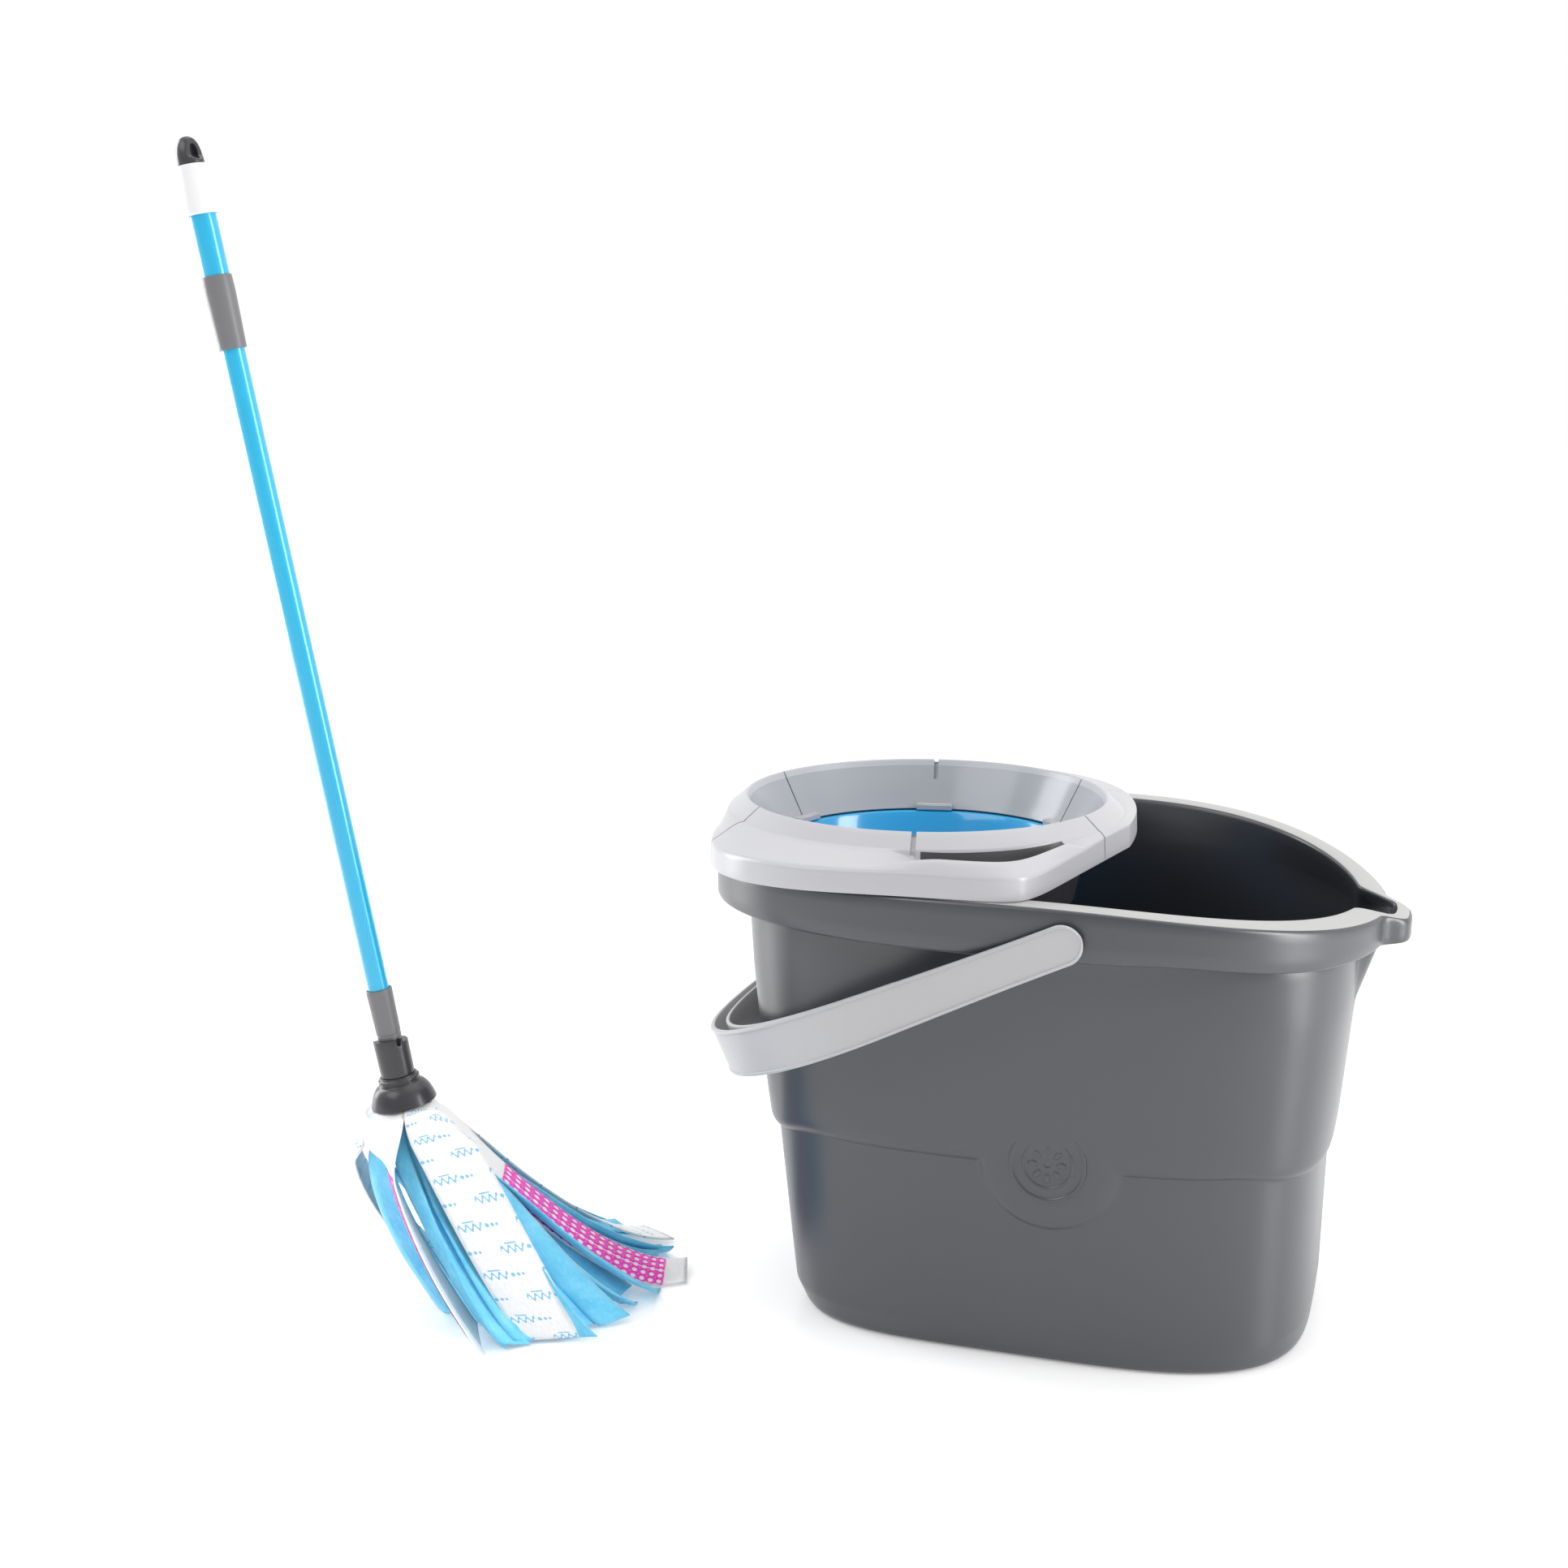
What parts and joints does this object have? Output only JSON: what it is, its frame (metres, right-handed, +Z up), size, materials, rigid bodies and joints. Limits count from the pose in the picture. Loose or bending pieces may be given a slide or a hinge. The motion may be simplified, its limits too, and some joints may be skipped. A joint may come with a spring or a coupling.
{
  "type": "spin mop",
  "caption": "Strip mop on a telescopic handle with its mop bucket: a pouring-lip pail with a carrying bail and a lift-off wringer that holds a turning basket.",
  "frame": {"origin": "middle of the bucket's flat base, on the floor", "axes": "+Z up out of the bucket; +X from the wringer end to the pouring lip; +Y away from the side with the badge"},
  "size_m": [0.6913, 0.4001, 0.7153],
  "materials": {
    "bucket_plastic": "fine satin moulded polypropylene",
    "ring_plastic": "smooth satin moulding",
    "bail_plastic": "smooth satin moulding",
    "basket_plastic": "glossy moulding",
    "tube_paint": "gloss lacquered steel tube",
    "sleeve_plastic": "satin moulding",
    "dark_plastic": "satin moulding with a slight gloss",
    "white_plastic": "smooth satin moulding",
    "screw_steel": "plain zinc-plated steel",
    "white_cloth": "non-woven cloth",
    "blue_cloth": "non-woven cloth"
  },
  "bodies": {
    "bucket": {"bucket_shell": "bucket_plastic"},
    "bail": {"bail_handle": "bail_plastic"},
    "wringer": {"wringer_ring": "ring_plastic", "basket_retainer": "dark_plastic"},
    "basket": {"wringer_basket": "basket_plastic"},
    "mop_head": {"head_dome": "dark_plastic", "head_socket": "dark_plastic", "clamp_plate": "dark_plastic", "clamp_screw": "screw_steel", "strip_white_front": "white_cloth", "strip_mesh_right": "white_cloth", "strip_white_right_back": "white_cloth", "strip_mesh_back": "white_cloth", "strip_white_left_back": "white_cloth", "strip_mesh_left": "white_cloth", "strip_blue_1": "blue_cloth", "strip_blue_2": "blue_cloth", "strip_blue_3": "blue_cloth", "strip_blue_4": "blue_cloth", "strip_blue_5": "blue_cloth", "strip_blue_6": "blue_cloth", "strip_blue_7": "blue_cloth", "strip_blue_8": "blue_cloth", "strip_core_1": "blue_cloth", "strip_core_2": "blue_cloth", "strip_core_3": "blue_cloth", "strip_core_4": "blue_cloth", "strip_core_5": "blue_cloth", "strip_core_6": "blue_cloth"},
    "handle_lower": {"handle_ferrule": "sleeve_plastic", "lower_tube": "tube_paint", "tube_end_bush": "white_plastic"},
    "handle_upper": {"upper_tube": "tube_paint", "hand_grip": "white_plastic", "hang_cap": "dark_plastic", "lock_collet": "white_plastic"},
    "lock": {"lock_sleeve": "sleeve_plastic"}
  },
  "joints": [
    {"name": "bail_swing", "type": "hinge", "parent": "bucket", "child": "bail", "pos_m": [0.0323, 0, 0.2714], "axis": [0, 1, 0], "range_deg": [0, 140]},
    {"name": "wringer_lift", "type": "slide", "parent": "bucket", "child": "wringer", "axis": [0, 0, 1], "range_m": [0, 0.2]},
    {"name": "basket_spin", "type": "hinge", "parent": "wringer", "child": "basket", "pos_m": [-0.09, 0, 0.28], "axis": [0, 0, 1], "continuous": true},
    {"name": "mop_lift", "type": "slide", "parent": "bucket", "child": "mop_head", "axis": [0, 0, 1], "range_m": [0, 0.4]},
    {"name": "handle_screw", "type": "hinge", "parent": "mop_head", "child": "handle_lower", "pos_m": [-0.3736, -0.1857, 0.1347], "axis": [-0.1685, -0.0553, 0.9842], "continuous": true},
    {"name": "telescope", "type": "slide", "parent": "handle_lower", "child": "handle_upper", "axis": [-0.1685, -0.0553, 0.9842], "range_m": [-0.045, 0]},
    {"name": "sleeve_twist", "type": "hinge", "parent": "handle_upper", "child": "lock", "pos_m": [-0.3736, -0.1857, 0.1347], "axis": [-0.1685, -0.0553, 0.9842], "range_deg": [0, 90]}
  ]
}
